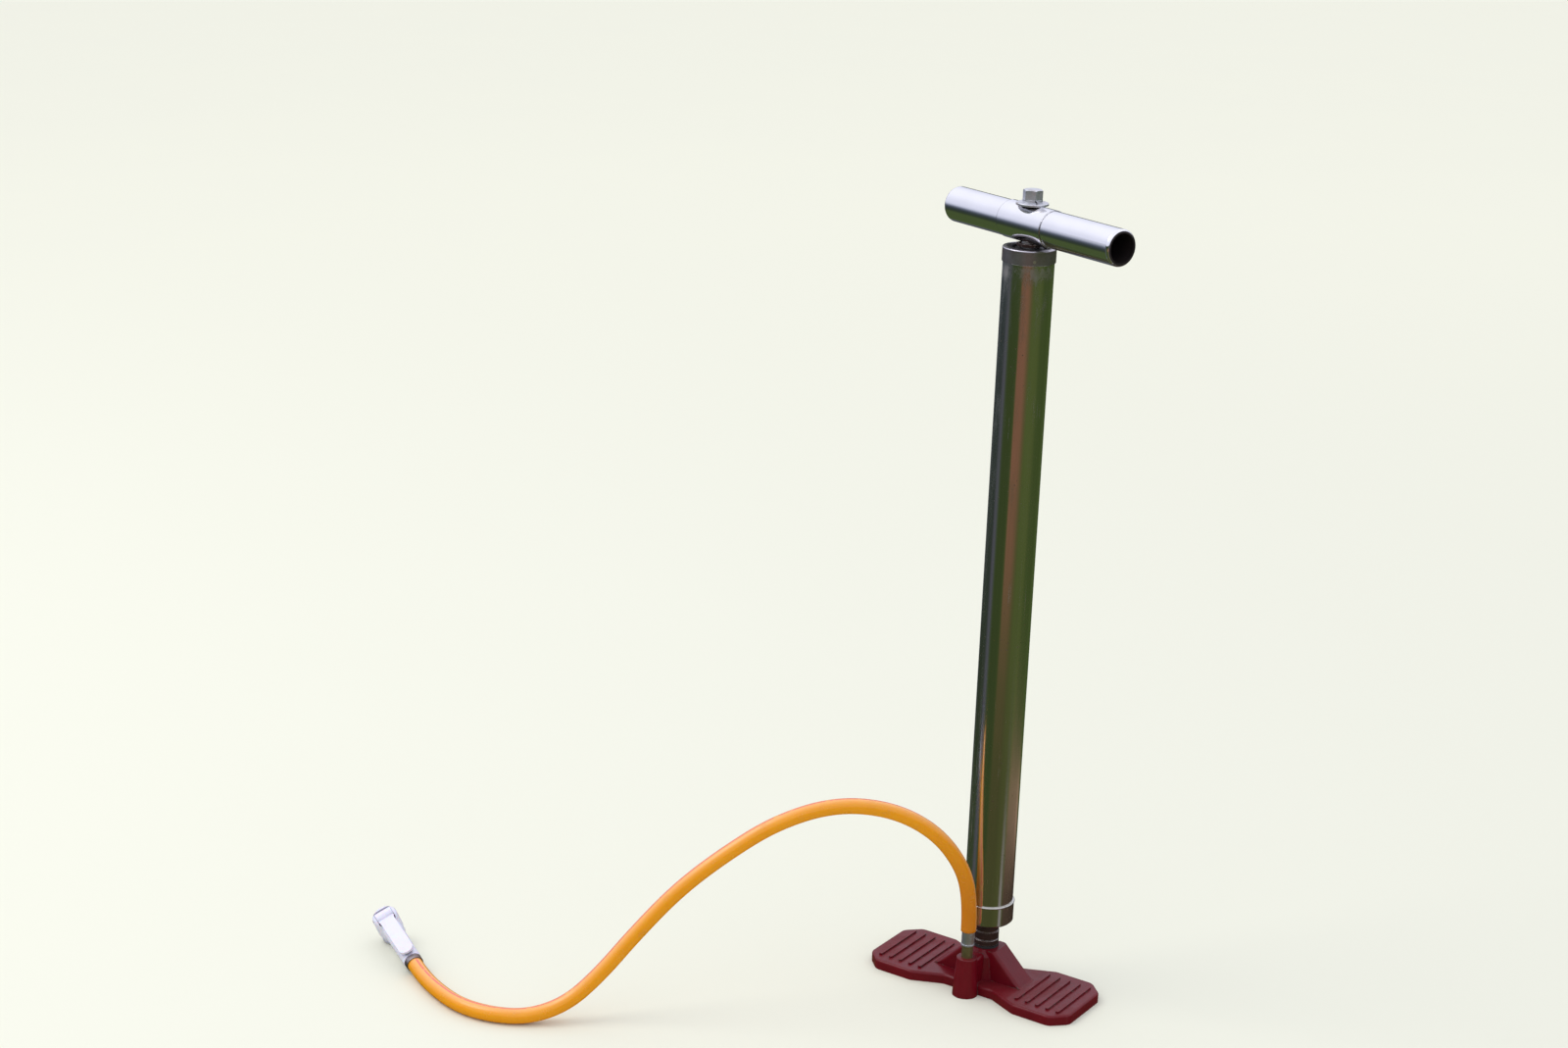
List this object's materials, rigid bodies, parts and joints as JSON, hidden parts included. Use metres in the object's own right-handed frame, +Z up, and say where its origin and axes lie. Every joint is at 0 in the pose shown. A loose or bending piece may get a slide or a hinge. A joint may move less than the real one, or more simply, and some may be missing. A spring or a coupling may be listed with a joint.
{
  "type": "floor bicycle pump",
  "caption": "Stand-up bicycle pump: plated steel barrel on a red cast foot, plated T handle, orange hose with a thumb-lock valve connector.",
  "frame": {"origin": "on the barrel's axis, at the foot's underside", "axes": "+Z up along the barrel; X along the foot's two treads; the hose leaves from the -Y side"},
  "size_m": [0.5184, 0.344, 0.6302],
  "materials": {
    "red_paint": "glossy crimson paint over a rough casting",
    "zinc_steel": "zinc-plated, slightly dulled",
    "bright_steel": "ground bright steel",
    "dark_steel": "blackened steel with bright worn edges",
    "barrel_chrome": "bright plate with scratches and specks of rust",
    "handle_chrome": "bright plate",
    "dull_nickel": "dull nickel with brown tarnish",
    "black_rubber": "matt",
    "black_plastic": "satin",
    "cup_leather": "oiled",
    "olive_brass": "tarnished",
    "orange_rubber": "smooth satin with a coloured stripe",
    "white_plastic": "satin, slightly lilac white"
  },
  "bodies": {
    "pump_body": {"foot_casting": "red_paint", "passage_plug": "zinc_steel", "base_gasket": "black_rubber", "lock_ring": "dark_steel", "neck_collar": "dark_steel", "neck_nipple": "dark_steel", "bottom_cap": "barrel_chrome", "barrel_seal": "black_rubber", "barrel_tube": "barrel_chrome", "top_cap": "dull_nickel", "cap_grub_screw": "bright_steel", "guide_bush": "black_plastic", "top_bumper": "black_rubber", "hose_tail": "olive_brass", "tail_collar": "zinc_steel", "hose": "orange_rubber", "chuck_ferrule": "dull_nickel", "chuck_barb": "olive_brass", "chuck_body": "white_plastic", "chuck_cap": "white_plastic", "chuck_grommet": "black_rubber", "lever_pin": "bright_steel"},
    "piston": {"piston_nut": "zinc_steel", "piston_lock_washer": "zinc_steel", "piston_spreader": "zinc_steel", "piston_cup": "cup_leather", "piston_top_washer": "zinc_steel"},
    "handle": {"piston_rod": "bright_steel", "rod_locknut": "dark_steel", "handle_bar": "handle_chrome", "handle_sleeve": "handle_chrome", "handle_washer": "zinc_steel", "handle_lock_washer": "zinc_steel", "handle_bolt": "zinc_steel"},
    "valve_ball": {"check_ball": "bright_steel"},
    "lever": {"chuck_lever": "white_plastic"},
    "plunger": {"chuck_plunger": "white_plastic"}
  },
  "joints": [
    {"name": "pump_stroke", "type": "slide", "parent": "pump_body", "child": "piston", "axis": [0, 0, 1], "range_m": [0, 0.488]},
    {"name": "handle_turn", "type": "hinge", "parent": "piston", "child": "handle", "pos_m": [0, 0, 0.6051], "axis": [0, 0, 1], "continuous": true},
    {"name": "ball_lift", "type": "slide", "parent": "pump_body", "child": "valve_ball", "axis": [0, 0, 1], "range_m": [0, 0.0034]},
    {"name": "lever_throw", "type": "hinge", "parent": "pump_body", "child": "lever", "pos_m": [-0.41111, -0.24446, 0.02444], "axis": [-0.4711, -0.7768, -0.4179], "range_deg": [0, 90]},
    {"name": "plunger_push", "type": "slide", "parent": "pump_body", "child": "plunger", "axis": [0.0738, 0.4374, -0.8962], "range_m": [0, 0.0012]}
  ],
  "couplings": [
    {"joint": "plunger_push", "follows": "lever_throw", "m_per_rad": 0.00076}
  ]
}
